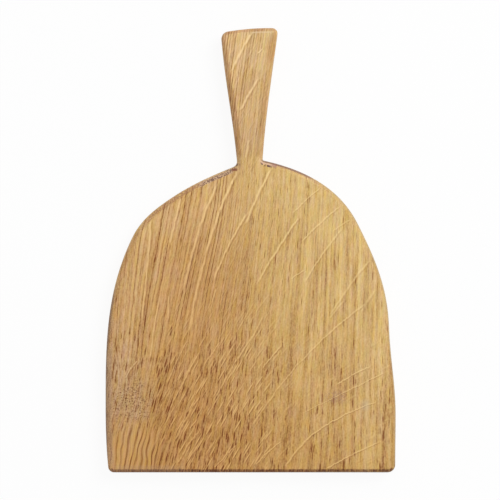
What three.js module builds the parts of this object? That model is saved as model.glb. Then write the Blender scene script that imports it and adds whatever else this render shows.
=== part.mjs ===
import * as THREE from 'three';

// Serving board shaped by hand from one oak plank: blade, neck and grip are the same piece of wood.
// Sizes are millimetres and angles are degrees. The board lies flat on its underside.
// X runs across the board, Y from the straight foot towards the grip, Z up to the serving face.

// Plank
const BOARD_LENGTH = 400;           // foot to the right corner of the grip end
const THICKNESS = 20;

// Left side of the blade: heights are above the foot, reaches are out from the centre line
const LEFT_FOOT_REACH = 127.5;
const LEFT_FOOT_LEAN = 7;           // the flank draws in towards the foot
const LEFT_REACH = 130.6;           // widest point
const LEFT_WIDEST_HEIGHT = 62;
const LEFT_TURN_REACH = 107;        // where the shoulder turns down into the flank
const LEFT_TURN_HEIGHT = 210.5;
const LEFT_TURN_SLOPE = 64.5;
const LEFT_BROW_REACH = 75.3;       // where the long slope from the neck begins to bend
const LEFT_BROW_HEIGHT = 244.4;
const LEFT_BROW_SLOPE = 34.7;
const LEFT_ROOT_HEIGHT = 276.5;     // where the shoulder meets the neck
const LEFT_ROOT_SLOPE = 21.6;

// Right side of the blade: fuller at the shoulder, a slight waist in the flank
const RIGHT_FOOT_REACH = 130.4;
const RIGHT_FOOT_LEAN = 0.5;
const RIGHT_REACH = 131;
const RIGHT_WIDEST_HEIGHT = 51;
const RIGHT_WAIST_REACH = 125;
const RIGHT_WAIST_HEIGHT = 131.4;
const RIGHT_WAIST_SLOPE = 88;
const RIGHT_TURN_REACH = 96.2;
const RIGHT_TURN_HEIGHT = 224.9;
const RIGHT_TURN_SLOPE = 62.8;
const RIGHT_ROOT_HEIGHT = 281;
const RIGHT_ROOT_SLOPE = 12;

// Grip: a narrow neck that flares to a slightly crowned, slanted end
const NECK_LEFT_REACH = 11.8;
const NECK_RIGHT_REACH = 11;
const NECK_LEFT_LEAN = 5;
const NECK_RIGHT_LEAN = 4;
const GRIP_LEFT_REACH = 26.6;
const GRIP_RIGHT_REACH = 25.2;
const GRIP_LEFT_LEAN = 4;
const GRIP_RIGHT_LEAN = 7.5;
const GRIP_END_DROP = 4;            // the left corner of the end sits lower than the right one
const GRIP_END_LEFT_RISE = 10;
const GRIP_END_RIGHT_FALL = 2;

// Corners of the outline
const FOOT_LEFT_RADIUS = 5.5;
const FOOT_RIGHT_RADIUS = 7;
const GRIP_LEFT_RADIUS = 7;
const GRIP_RIGHT_RADIUS = 5;
const NECK_LEFT_RADIUS = 5.5;
const NECK_RIGHT_RADIUS = 1.5;
const CORNER_LIMIT = 0.4;           // most of an edge that one corner may take up

// Round-over of both faces, worked wider or narrower along the edge
const FOOT_ROUND = 2.5;
const LEFT_FLANK_ROUND = 5.2;
const LEFT_SHOULDER_ROUND = 5;
const LEFT_GRIP_ROUND = 4.6;
const GRIP_END_ROUND = 3;
const RIGHT_GRIP_ROUND = 5.6;
const RIGHT_SHOULDER_ROUND = 3.6;
const RIGHT_FLANK_ROUND = 4.4;
const ROUND_TAPER = 0.1;            // change of the round-over for each millimetre along the edge
const ROUND_LIMIT = 0.45;           // widest round-over, as a share of the thickness
const CORNER_ROUND_LIMIT = 0.7;     // widest round-over on an outside corner, as a share of its radius

// Fineness of the solid
const PULL_SHARE = 0.36;            // handle of an outline curve, as a share of its chord
const STATION_SPACING = 7;
const FOOT_STATIONS = 8;
const CORNER_STEP = 12;             // degrees
const CORNER_LEAST_STEPS = 3;
const ROUND_STEPS = 5;

const radians = THREE.MathUtils.degToRad;

/** Unit vector of a heading, counted anticlockwise from +X. */
function heading(angle) {
  return new THREE.Vector2(Math.cos(radians(angle)), Math.sin(radians(angle)));
}

/** Smooth curve that leaves one point along a heading and reaches another along a second heading. */
function sweep(from, leaving, to, arriving) {
  const pull = from.distanceTo(to) * PULL_SHARE;
  const first = from.clone().addScaledVector(heading(leaving), pull);
  const second = to.clone().addScaledVector(heading(arriving), -pull);
  return new THREE.CubicBezierCurve(from, first, second, to);
}

/** Round corner: a conic that touches both neighbours, a circular arc when its two legs are equal. */
class CornerArc extends THREE.Curve {
  constructor(start, corner, end, turn) {
    super();
    this.start = start;
    this.corner = corner;
    this.end = end;
    this.weight = Math.cos(turn / 2);
  }

  getPoint(t, target = new THREE.Vector2()) {
    const near = (1 - t) * (1 - t);
    const middle = 2 * this.weight * t * (1 - t);
    const far = t * t;
    target.set(0, 0);
    target.addScaledVector(this.start, near);
    target.addScaledVector(this.corner, middle);
    target.addScaledVector(this.end, far);
    return target.divideScalar(near + middle + far);
  }
}

/** Edges of the board in anticlockwise order; radius is the corner at the end of each edge. */
function boardEdges() {
  const footLeft = new THREE.Vector2(-LEFT_FOOT_REACH, 0);
  const footRight = new THREE.Vector2(RIGHT_FOOT_REACH, 0);
  const rightWidest = new THREE.Vector2(RIGHT_REACH, RIGHT_WIDEST_HEIGHT);
  const rightWaist = new THREE.Vector2(RIGHT_WAIST_REACH, RIGHT_WAIST_HEIGHT);
  const rightTurn = new THREE.Vector2(RIGHT_TURN_REACH, RIGHT_TURN_HEIGHT);
  const rightRoot = new THREE.Vector2(NECK_RIGHT_REACH, RIGHT_ROOT_HEIGHT);
  const gripRight = new THREE.Vector2(GRIP_RIGHT_REACH, BOARD_LENGTH);
  const gripLeft = new THREE.Vector2(-GRIP_LEFT_REACH, BOARD_LENGTH - GRIP_END_DROP);
  const leftRoot = new THREE.Vector2(-NECK_LEFT_REACH, LEFT_ROOT_HEIGHT);
  const leftBrow = new THREE.Vector2(-LEFT_BROW_REACH, LEFT_BROW_HEIGHT);
  const leftTurn = new THREE.Vector2(-LEFT_TURN_REACH, LEFT_TURN_HEIGHT);
  const leftWidest = new THREE.Vector2(-LEFT_REACH, LEFT_WIDEST_HEIGHT);
  return [
    {
      curve: new THREE.LineCurve(footLeft, footRight),
      stations: FOOT_STATIONS,
      round: FOOT_ROUND,
      radius: FOOT_RIGHT_RADIUS,
    },
    {
      curve: sweep(footRight, 90 - RIGHT_FOOT_LEAN, rightWidest, 90),
      round: RIGHT_FLANK_ROUND,
      radius: 0,
    },
    {
      curve: sweep(rightWidest, 90, rightWaist, 180 - RIGHT_WAIST_SLOPE),
      round: RIGHT_FLANK_ROUND,
      radius: 0,
    },
    {
      curve: sweep(rightWaist, 180 - RIGHT_WAIST_SLOPE, rightTurn, 180 - RIGHT_TURN_SLOPE),
      round: RIGHT_FLANK_ROUND,
      radius: 0,
    },
    {
      curve: sweep(rightTurn, 180 - RIGHT_TURN_SLOPE, rightRoot, 180 - RIGHT_ROOT_SLOPE),
      round: RIGHT_SHOULDER_ROUND,
      radius: NECK_RIGHT_RADIUS,
    },
    {
      curve: sweep(rightRoot, 90 - NECK_RIGHT_LEAN, gripRight, 90 - GRIP_RIGHT_LEAN),
      round: RIGHT_GRIP_ROUND,
      radius: GRIP_RIGHT_RADIUS,
    },
    {
      curve: sweep(gripRight, 180 - GRIP_END_RIGHT_FALL, gripLeft, 180 + GRIP_END_LEFT_RISE),
      round: GRIP_END_ROUND,
      radius: GRIP_LEFT_RADIUS,
    },
    {
      curve: sweep(gripLeft, 270 + GRIP_LEFT_LEAN, leftRoot, 270 + NECK_LEFT_LEAN),
      round: LEFT_GRIP_ROUND,
      radius: NECK_LEFT_RADIUS,
    },
    {
      curve: sweep(leftRoot, 180 + LEFT_ROOT_SLOPE, leftBrow, 180 + LEFT_BROW_SLOPE),
      round: LEFT_SHOULDER_ROUND,
      radius: 0,
    },
    {
      curve: sweep(leftBrow, 180 + LEFT_BROW_SLOPE, leftTurn, 180 + LEFT_TURN_SLOPE),
      round: LEFT_SHOULDER_ROUND,
      radius: 0,
    },
    {
      curve: sweep(leftTurn, 180 + LEFT_TURN_SLOPE, leftWidest, 270),
      round: LEFT_FLANK_ROUND,
      radius: 0,
    },
    {
      curve: sweep(leftWidest, 270, footLeft, 270 + LEFT_FOOT_LEAN),
      round: LEFT_FLANK_ROUND,
      radius: FOOT_LEFT_RADIUS,
    },
  ];
}

/** Signed turn from one direction to the next, positive on an outside corner. */
function turnBetween(before, after) {
  return Math.atan2(before.cross(after), before.dot(after));
}

/** Stations along a stretch of a curve, each with its point, outward direction and round-over. */
function stationsAlong(curve, from, to, steps, round) {
  const stations = [];
  for (let step = 0; step <= steps; step += 1) {
    const share = from + ((to - from) * step) / steps;
    const along = curve.getTangentAt(share);
    const outward = new THREE.Vector2(along.y, -along.x);
    stations.push({ point: curve.getPointAt(share), outward, round });
  }
  return stations;
}

/** The whole outline as stations: trimmed edges with round corners between them. */
function traceOutline(edges) {
  const corners = edges.map((edge, index) => {
    const next = edges[(index + 1) % edges.length];
    const turn = turnBetween(edge.curve.getTangentAt(1), next.curve.getTangentAt(0));
    const shortest = Math.min(edge.curve.getLength(), next.curve.getLength());
    const setback = Math.min(edge.radius * Math.tan(Math.abs(turn) / 2), shortest * CORNER_LIMIT);
    return { turn, setback };
  });
  const outline = [];
  edges.forEach((edge, index) => {
    const length = edge.curve.getLength();
    const next = edges[(index + 1) % edges.length];
    const corner = corners[index];
    const from = corners[(index + edges.length - 1) % edges.length].setback / length;
    const to = 1 - corner.setback / length;
    const steps = edge.stations ?? Math.ceil((length * (to - from)) / STATION_SPACING);
    const stretch = stationsAlong(edge.curve, from, to, steps, edge.round);
    if (edge.radius === 0) {
      stretch.pop();
      outline.push(...stretch);
      return;
    }
    outline.push(...stretch);
    const start = edge.curve.getPointAt(to);
    const end = next.curve.getPointAt(corner.setback / next.curve.getLength());
    const arc = new CornerArc(start, edge.curve.getPointAt(1), end, corner.turn);
    const degrees = THREE.MathUtils.radToDeg(Math.abs(corner.turn));
    const arcSteps = Math.max(CORNER_LEAST_STEPS, Math.ceil(degrees / CORNER_STEP));
    const narrowest = Math.min(edge.round, next.round);
    const arcRadius = corner.setback / Math.tan(Math.abs(corner.turn) / 2);
    const widest = corner.turn > 0 ? arcRadius * CORNER_ROUND_LIMIT : narrowest;
    const arcRound = Math.min(narrowest, widest);
    const bend = stationsAlong(arc, 0, 1, arcSteps, arcRound);
    outline.push(...bend.slice(1, -1));
  });
  return outline;
}

/** Round-over at each station, eased so that a wide stretch runs gradually into a narrow one. */
function easedRounds(outline) {
  const limit = THICKNESS * ROUND_LIMIT;
  const reached = [0];
  outline.forEach((station, index) => {
    const next = outline[(index + 1) % outline.length];
    reached.push(reached[index] + station.point.distanceTo(next.point));
  });
  const whole = reached[outline.length];
  return outline.map((station, index) => {
    let round = limit;
    outline.forEach((other, position) => {
      const apart = Math.abs(reached[index] - reached[position]);
      const around = Math.min(apart, whole - apart);
      round = Math.min(round, other.round + around * ROUND_TAPER);
    });
    return round;
  });
}

/** Closed slab over the outline: flat underside, rounded edges, upright wall and flat serving face. */
function roundedSlab(outline) {
  const count = outline.length;
  const rounds = easedRounds(outline);
  const levels = [];
  for (let step = 0; step <= ROUND_STEPS; step += 1) {
    const angle = (Math.PI / 2) * (step / ROUND_STEPS);
    levels.push({ inset: 1 - Math.sin(angle), rise: 1 - Math.cos(angle) });
  }
  const rings = [
    ...levels.map((level) => ({ inset: level.inset, height: (round) => round * level.rise })),
    ...levels.toReversed().map((level) => ({
      inset: level.inset,
      height: (round) => THICKNESS - round * level.rise,
    })),
  ];
  const positions = [];
  rings.forEach((ring) => {
    outline.forEach((station, index) => {
      const point = station.point.clone().addScaledVector(station.outward, -rounds[index] * ring.inset);
      positions.push(point.x, point.y, ring.height(rounds[index]));
    });
  });
  const triangles = [];
  for (let ring = 0; ring < rings.length - 1; ring += 1) {
    for (let index = 0; index < count; index += 1) {
      const next = (index + 1) % count;
      const low = ring * count;
      const high = low + count;
      triangles.push(low + index, low + next, high + next);
      triangles.push(low + index, high + next, high + index);
    }
  }
  const face = outline.map((station, index) => {
    return station.point.clone().addScaledVector(station.outward, -rounds[index]);
  });
  const top = (rings.length - 1) * count;
  THREE.ShapeUtils.triangulateShape(face, []).forEach(([a, b, c]) => {
    triangles.push(top + a, top + b, top + c);
    triangles.push(a, c, b);
  });
  const geometry = new THREE.BufferGeometry();
  geometry.setAttribute('position', new THREE.Float32BufferAttribute(positions, 3));
  geometry.setIndex(triangles);
  geometry.computeBoundingBox();
  const middle = geometry.boundingBox.getCenter(new THREE.Vector3());
  geometry.translate(-middle.x, -middle.y, 0);
  geometry.computeVertexNormals();
  return geometry;
}

const oak = new THREE.MeshStandardMaterial({ color: 0xc49b66, roughness: 0.6, metalness: 0 });
const plank = new THREE.Mesh(roundedSlab(traceOutline(boardEdges())), oak);
plank.name = 'oak_board';

const board = new THREE.Group();
board.name = 'serving_board';
board.add(plank);

export default board;
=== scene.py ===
"""Studio scene of a wooden serving board: one quarter-sawn oak plank with a paddle grip.

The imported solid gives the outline, the thickness and the width of the hand-worked round-overs.
A finer skin of the same plank is worked out from them with numpy and dressed as oiled oak, whose
grain, pores and pale rays are solid patterns in the wood, so that they run on over every edge.
"""

import logging
import math
from dataclasses import dataclass
from enum import Enum
from typing import Dict, Sequence, Tuple, Union

import bpy
import numpy as np
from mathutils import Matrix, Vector


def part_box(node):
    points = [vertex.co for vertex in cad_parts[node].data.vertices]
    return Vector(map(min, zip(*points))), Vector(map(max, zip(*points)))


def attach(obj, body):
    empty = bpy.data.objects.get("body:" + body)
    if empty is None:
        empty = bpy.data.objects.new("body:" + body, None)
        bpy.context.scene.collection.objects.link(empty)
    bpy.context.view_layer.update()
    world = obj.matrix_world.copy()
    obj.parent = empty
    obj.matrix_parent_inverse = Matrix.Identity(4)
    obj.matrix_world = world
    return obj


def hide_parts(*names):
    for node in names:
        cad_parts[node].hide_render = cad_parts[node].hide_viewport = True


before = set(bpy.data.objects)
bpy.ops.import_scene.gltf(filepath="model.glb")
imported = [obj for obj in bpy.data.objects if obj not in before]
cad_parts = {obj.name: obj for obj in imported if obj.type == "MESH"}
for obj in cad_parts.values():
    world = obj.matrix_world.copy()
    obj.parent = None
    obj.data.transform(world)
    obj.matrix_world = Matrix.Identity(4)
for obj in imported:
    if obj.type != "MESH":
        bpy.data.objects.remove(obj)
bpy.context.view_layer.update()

LOG = logging.getLogger("serving_board")
MM = 0.001
NOTHING = 1e-9            # share of an earlier result that is too small to show
HEART_ACROSS = -145.0     # millimetres across, from the board's middle to the heart of the tree

Socket = bpy.types.NodeSocket
Value = Union[float, Sequence[float], Socket]
Colour = Tuple[float, float, float, float]
Span = Tuple[float, float]
Lump = Tuple[float, float, float]
ANY: Span = (-math.inf, math.inf)


def shown(red: float, green: float, blue: float) -> Colour:
    """Turn a colour as a screen shows it into the linear colour that a shader takes.

    Args:
        red: Red from 0 to 255.
        green: Green from 0 to 255.
        blue: Blue from 0 to 255.

    Returns:
        The same colour as linear red, green, blue and an alpha of 1.
    """
    screen = np.array([red, green, blue]) / 255.0
    linear = np.where(screen <= 0.04045, screen / 12.92, ((screen + 0.055) / 1.055) ** 2.4)
    return (float(linear[0]), float(linear[1]), float(linear[2]), 1.0)


class Sum(Enum):
    """Arithmetic that one Math node can do."""

    ADD = "ADD"
    SUBTRACT = "SUBTRACT"
    MULTIPLY = "MULTIPLY"
    DIVIDE = "DIVIDE"
    MULTIPLY_ADD = "MULTIPLY_ADD"
    MAXIMUM = "MAXIMUM"
    ABSOLUTE = "ABSOLUTE"
    PINGPONG = "PINGPONG"
    ROOT = "SQRT"
    EXPONENT = "EXPONENT"


class Coat(Enum):
    """How a colour meets the wood: laid over it, or soaked in so that the grain shows."""

    OVER = "MIX"
    INTO = "MULTIPLY"


class Graph:
    """Adds nodes to one node tree and hands back the sockets that carry their results."""

    def __init__(self, tree: bpy.types.NodeTree) -> None:
        """Keep the tree that the nodes go into."""
        self.tree = tree

    def node(self, kind: str, *values: Value) -> bpy.types.Node:
        """Add a node of one kind.

        Args:
            kind: Blender's name for it.
            values: What its inputs take, in their order.

        Returns:
            The node.
        """
        made = self.tree.nodes.new(kind)
        for socket, value in zip(made.inputs, values):
            self.feed(socket, value)
        return made

    def feed(self, socket: Socket, value: Value) -> None:
        """Link a socket to another one, or set its own value.

        Args:
            socket: The input to feed.
            value: A socket to link, or a constant to set.
        """
        if isinstance(value, bpy.types.NodeSocket):
            self.tree.links.new(value, socket)
        else:
            socket.default_value = value

    def math(self, step: Sum, *values: Value) -> Socket:
        """Do one step of arithmetic.

        Args:
            step: What to do.
            values: The numbers or sockets that it takes.

        Returns:
            The result.
        """
        made = self.node("ShaderNodeMath")
        made.operation = step.value
        for socket, value in zip(made.inputs, values):
            self.feed(socket, value)
        return made.outputs[0]

    def add(self, first: Value, *others: Value) -> Socket:
        """Add values one after another."""
        for other in others:
            first = self.math(Sum.ADD, first, other)
        return first

    def times(self, first: Value, *others: Value) -> Socket:
        """Multiply values one after another."""
        for other in others:
            first = self.math(Sum.MULTIPLY, first, other)
        return first

    def line(self, value: Value, slope: Value, offset: Value) -> Socket:
        """Work out slope times value plus offset."""
        return self.math(Sum.MULTIPLY_ADD, value, slope, offset)

    def fade(self, value: Value, start: float, end: float, low: float = 0.0, high: float = 1.0) -> Socket:
        """Ease from one level to another while a value runs between two marks.

        Args:
            value: What runs.
            start: Where the easing starts; it may be above the end.
            end: Where it ends.
            low: Level before the start.
            high: Level past the end.

        Returns:
            The eased level.
        """
        made = self.node("ShaderNodeMapRange", value, start, end, low, high)
        made.interpolation_type = "SMOOTHSTEP"
        return made.outputs[0]

    def level(self, value: Value, start: float, end: float, low: float = 0.0, high: float = 1.0) -> Socket:
        """Map a range straight onto another one, held at its ends; the arguments are those of fade."""
        return self.node("ShaderNodeMapRange", value, start, end, low, high).outputs[0]

    def swing(self, noise: Value, reach: float) -> Socket:
        """Turn noise from 0 to 1 into a swing of up to reach to both sides of 0."""
        return self.line(noise, 2.0 * reach, -reach)

    def after(self, value: Value, earlier: Value) -> Socket:
        """Pass a value on unchanged, but only once an earlier one is known.

        The renderer keeps results that wait to be used on a small stack. What repeats many times
        is put in a row like this, so that few of them wait there together.

        Args:
            value: What to pass on.
            earlier: A result from 0 to 1 that has to come first.

        Returns:
            The value, with a share of the earlier result too small to count.
        """
        return self.line(earlier, NOTHING, value)

    def bell(self, offset: Value) -> Socket:
        """Work out exp(-offset squared), which is 1 at no offset and fades to both sides."""
        return self.math(Sum.EXPONENT, self.times(offset, offset, -1.0))

    def near(self, value: Value, middle: float, spread: float) -> Socket:
        """Work out a bell round a middle value."""
        return self.bell(self.line(value, 1.0 / spread, -middle / spread))

    def between(self, value: Value, limits: Span, soft: float) -> Value:
        """Say whether a value lies between two limits.

        Args:
            value: What to test.
            limits: The lower and the upper limit; an infinite one is left out.
            soft: Half the width over which each limit eases.

        Returns:
            1 between the limits, easing to 0 beyond them.
        """
        low, high = limits
        inside: Value = 1.0
        if math.isfinite(low):
            inside = self.fade(value, low - soft, low + soft)
        if math.isfinite(high):
            inside = self.times(self.fade(value, high + soft, high - soft), inside)
        return inside

    def toward(self, amount: Value, value: Value, other: Value) -> Socket:
        """Move a value towards another one by a share of the way."""
        return self.line(self.math(Sum.SUBTRACT, other, value), amount, value)

    def spot(self, across: Value, along: Value, centre: Span, reach: Span) -> Socket:
        """Work out a soft round spot.

        Args:
            across: Place across the board.
            along: Place along the board.
            centre: The spot's middle, across and along.
            reach: How far it spreads, across and along.

        Returns:
            1 in the middle of the spot, fading to 0.
        """
        wide = self.near(across, centre[0], reach[0])
        tall = self.near(along, centre[1], reach[1])
        return self.times(wide, tall)

    def vector(self, *parts: Value) -> Socket:
        """Put three numbers together as a vector."""
        return self.node("ShaderNodeCombineXYZ", *parts).outputs[0]

    def paint(self, *parts: Value) -> Socket:
        """Put red, green and blue together as a colour."""
        return self.node("ShaderNodeCombineColor", *parts).outputs[0]

    def spaced(self, place: Sequence[Value], spacing: Lump) -> Socket:
        """Measure a place in steps of its own size along each axis."""
        return self.vector(*(self.times(part, 1.0 / size) for part, size in zip(place, spacing)))

    def noise(self, place: Sequence[Value], spacing: Lump, detail: float = 0.0) -> Socket:
        """Sample smooth noise whose lumps have a size of their own along each axis.

        Args:
            place: The three coordinates to sample at.
            spacing: Size of a lump along each of them.
            detail: Extra finer layers, each half as strong as the one before.

        Returns:
            Noise from 0 to 1, about 0.5 on average.
        """
        made = self.node("ShaderNodeTexNoise")
        self.feed(made.inputs["Vector"], self.spaced(place, spacing))
        made.inputs["Scale"].default_value = 1.0
        made.inputs["Detail"].default_value = detail
        return made.outputs[0]

    def seeds(self, place: Sequence[Value], spacing: Lump) -> Tuple[Socket, Socket]:
        """Scatter one seed in each cell of a grid.

        Args:
            place: The three coordinates to sample at.
            spacing: Size of a cell along each of them.

        Returns:
            Distance to the nearest seed, in cells, and a chance number of that seed, from 0 to 1.
        """
        made = self.node("ShaderNodeTexVoronoi")
        self.feed(made.inputs["Vector"], self.spaced(place, spacing))
        made.inputs["Scale"].default_value = 1.0
        parts = self.node("ShaderNodeSeparateColor", made.outputs["Color"])
        return made.outputs["Distance"], parts.outputs[0]

    def attribute(self, name: str) -> Socket:
        """Read a number that the mesh carries at its points.

        Args:
            name: The attribute's name.

        Returns:
            The number at the shaded point.
        """
        made = self.node("ShaderNodeAttribute")
        made.attribute_name = name
        return made.outputs["Fac"]

    def mix(self, amount: Value, first: Value, second: Value, way: Coat = Coat.OVER) -> Socket:
        """Mix two colours.

        Args:
            amount: Share of the second colour, from 0 to 1.
            first: The colour underneath.
            second: The colour laid over it.
            way: How they mix.

        Returns:
            The mixed colour.
        """
        made = self.node("ShaderNodeMix")
        made.data_type = "RGBA"
        made.blend_type = way.value
        self.feed(made.inputs[0], amount)
        self.feed(made.inputs[6], first)
        self.feed(made.inputs[7], second)
        return made.outputs[2]

    def stain(self, amount: Value, colour: Value, stain: Value) -> Socket:
        """Multiply a colour by a stain, as far as amount says."""
        return self.mix(amount, colour, stain, Coat.INTO)


@dataclass(frozen=True)
class Place:
    """Sockets that say where a shaded point lies in the wood, in millimetres.

    inset is how far the point lies inside the outline, and facing says which way the nearest edge
    faces, from -1 at the foot to 1 at the grip's end.
    """

    across: Socket
    along: Socket
    height: Socket
    ring: Socket
    inset: Socket
    facing: Socket

    def point(self) -> Tuple[Socket, Socket, Socket]:
        """Give the place in the board's own axes."""
        return self.across, self.along, self.height

    def wood(self) -> Tuple[Socket, Socket, Socket]:
        """Give the place across the rings, along the fibres and up."""
        return self.ring, self.along, self.height


@dataclass(frozen=True)
class Region:
    """Sockets from 0 to 1 that say which part of the board a point belongs to."""

    low: Socket
    sap: Socket
    striped: Socket
    banded: Socket
    wavy: Socket
    grip: Socket
    knot: Socket


@dataclass(frozen=True)
class Layer:
    """One layer of noise in the grain.

    Its lumps have a size across the rings, along the fibres and up. The noise is drawn out between
    two of its levels so that it runs from -1, dark, to 1, pale. It counts by plain plus the other
    shares times the masks of the same names.
    """

    lump: Lump
    levels: Span
    plain: float
    striped: float = 0.0
    banded: float = 0.0
    low: float = 0.0
    sap: float = 0.0
    detail: float = 0.0


@dataclass(frozen=True)
class Pores:
    """One kind of pore: dark dashes strewn in cells that are long along the fibres.

    reach says where a dash starts and where it is darkest, in cells from its middle. A cell has a
    dash where its chance number is above the rarity, which is plain plus the other shares times
    the masks of the same names.
    """

    cell: Lump
    reach: Span
    depth: float
    plain: float
    striped: float = 0.0
    low: float = 0.0
    sap: float = 0.0


@dataclass(frozen=True)
class OakGrain:
    """Run of the fibres and tone of the grain in a quarter-sawn plank, in millimetres.

    The heart of the tree lies beyond the left edge. The wood there is striped by its rings, and
    towards the foot it is full of short pores.
    """

    # Run of the fibres
    heart_across: float = HEART_ACROSS
    heart_height: float = 10.0
    lean_share: float = 0.000723
    upright_across: float = 125.0
    left_edge: Span = (-80.0, -132.0)
    left_change: Span = (-170.0, -120.0)
    left_loss: Span = (0.4, 0.6)
    grip_start: float = 75.0
    grip_lean: float = 0.09
    sweep: float = 10.0
    sweep_across: float = -66.0
    sweep_reach: float = 42.0
    sweep_rise: Span = (-205.0, -95.0)
    sweep_settle: Span = (-60.0, 160.0)
    sweep_rest: float = 0.2
    fan: float = 15.0
    fan_across: float = -30.0
    fan_reach: float = 38.0
    fan_rise: Span = (-75.0, 75.0)
    # Wavy stripes in the corner at the lower left
    corner: Span = (-103.0, -180.0)
    corner_reach: Span = (26.0, 21.0)
    corner_levels: Span = (0.15, 0.65)
    corner_share: float = 0.68
    corner_pale: float = 0.9
    corner_lines: float = 0.6
    corner_pores: float = 0.6
    # Wander and ripple of the fibres
    wander: float = 2.5
    wander_lump: Lump = (40.0, 110.0, 40.0)
    ripple: float = 0.45
    corner_ripple: float = 2.4
    ripple_lump: Lump = (9.0, 16.0, 9.0)
    # Where each part of the board starts and where it is reached
    low_span: Span = (-30.0, -135.0)
    sap_span: Span = (-25.0, 62.0)
    heart_span: Span = (28.0, -48.0)
    heart_edge: Span = (-112.0, -72.0)
    heart_edge_share: float = 0.72
    band_span: Span = (25.0, -20.0)
    grip_span: Span = (78.0, 100.0)
    grip_stripes: float = 0.42
    low_stripe_loss: float = 0.45
    # Knot near the left edge
    knot: Span = (-109.0, -135.0)
    knot_reach: Span = (20.0, 24.0)
    knot_levels: Span = (0.2, 0.9)
    knot_ragged: float = 0.56
    knot_border: Lump = (9.0, 9.0, 9.0)
    knot_lump: Lump = (2.6, 2.0, 2.2)
    knot_speckle: float = 0.45
    speckle_levels: Span = (0.35, 0.65)
    speckle_tones: Span = (-0.6, 0.5)
    # Lines of the year rings, and hairs between them
    ring_width: float = 3.3
    ring_drift: float = 1.4
    ring_line: Span = (0.21, 0.02)
    bold_width: float = 5.4
    bold_drift: float = 3.0
    bold_line: Span = (0.3, 0.04)
    bold_depth: float = 1.7
    bold_lump: Lump = (16.0, 60.0, 40.0)
    drift_lump: Lump = (14.0, 260.0, 40.0)
    faint_lump: Lump = (5.0, 70.0, 14.0)
    faint_levels: Span = (0.3, 0.6)
    faint_share: float = 0.3
    hair_lump: Lump = (2.4, 150.0, 20.0)
    hair_width: float = 0.08
    hair_share: float = 0.5
    line_plain: float = 0.1
    line_striped: float = 1.1
    # Tone without lines and pores
    tone_plain: float = 0.17
    tone_striped: float = 0.27
    # Columns that the pores stand in
    column_lump: Lump = (2.4, 240.0, 60.0)
    column_levels: Span = (0.36, 0.64)
    column_share: float = 0.32
    column_plain: float = 0.3
    column_sap: float = 0.7
    chance_ease: float = 0.5
    # Layers of noise and kinds of pores
    layers: Tuple[Layer, ...] = (
        Layer((2.2, 160.0, 16.0), (0.40, 0.60), plain=0.08, striped=0.12, sap=0.04),
        Layer((5.0, 190.0, 30.0), (0.34, 0.66), plain=0.05, banded=0.26, detail=1.0),
        Layer((0.5, 6.0, 0.8), (0.20, 0.80), plain=0.46, striped=-0.06, low=0.12, sap=-0.14, detail=1.0),
        Layer((1.1, 1.8, 1.1), (0.20, 0.80), plain=0.18, striped=-0.06, low=0.06, sap=-0.06),
        Layer((1.5, 34.0, 6.0), (0.30, 0.62), plain=0.10, striped=-0.05, sap=0.10),
        Layer((24.0, 50.0, 24.0), (0.25, 0.75), plain=0.16, detail=2.0),
    )
    lenses: Pores = Pores((1.75, 12.5, 3.0), (0.5, 0.18), depth=0.92, plain=0.76, low=-0.6, sap=0.56)
    dashes: Pores = Pores(
        (1.1, 13.0, 3.0), (0.48, 0.12), depth=0.85, plain=0.5, striped=0.3, low=-0.1, sap=0.2
    )
    pore_depth: float = 1.5
    # How much of the lines and pores the walls show
    wall_inset: float = 1.5
    wall_share: float = 0.45

    def place(self, graph: Graph) -> Place:
        """Work out where a point lies in the wood.

        The fibres lean right by lean_share per millimetre left of upright_across, less at the left
        edge and more on the grip. They sweep round the knot at the lower left and fan out towards
        the neck. A ring is the distance from the heart's line, which runs along the board at mid
        thickness.

        Args:
            graph: The tree to add to.

        Returns:
            The sockets that the patterns read.
        """
        source = graph.node("ShaderNodeTexCoord").outputs["Object"]
        split = graph.node("ShaderNodeSeparateXYZ", source)
        across, along, height = (graph.times(part, 1.0 / MM) for part in split.outputs)
        point = (across, along, height)
        slant = graph.line(across, -self.lean_share, self.lean_share * self.upright_across)
        at_left = graph.fade(across, *self.left_edge)
        lost = graph.times(at_left, graph.fade(along, *self.left_change, *self.left_loss))
        lean = graph.times(slant, graph.line(lost, -1.0, 1.0), along)
        past_neck = graph.math(Sum.MAXIMUM, graph.add(along, -self.grip_start), 0.0)
        lean = graph.line(past_neck, self.grip_lean, lean)
        rise = graph.fade(along, *self.sweep_rise, 0.0, self.sweep)
        settle = graph.fade(along, *self.sweep_settle, 1.0, self.sweep_rest)
        swept = graph.times(graph.near(across, self.sweep_across, self.sweep_reach), rise, settle)
        fan = graph.fade(along, *self.fan_rise, 0.0, self.fan)
        fanned = graph.times(graph.near(across, self.fan_across, self.fan_reach), fan)
        wander = graph.swing(graph.noise(point, self.wander_lump), self.wander)
        waves = graph.swing(graph.noise(point, self.ripple_lump), 1.0)
        corner = graph.spot(across, along, self.corner, self.corner_reach)
        churn = graph.line(corner, self.corner_ripple, self.ripple)
        straight = graph.math(Sum.SUBTRACT, wander, graph.add(lean, swept, fanned))
        shift = graph.line(waves, churn, straight)
        reach = graph.add(across, shift, -self.heart_across)
        off_middle = graph.add(height, -self.heart_height)
        ring = graph.math(Sum.ROOT, graph.line(reach, reach, graph.times(off_middle, off_middle)))
        return Place(across, along, height, ring, graph.attribute("inset"), graph.attribute("facing"))

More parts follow.
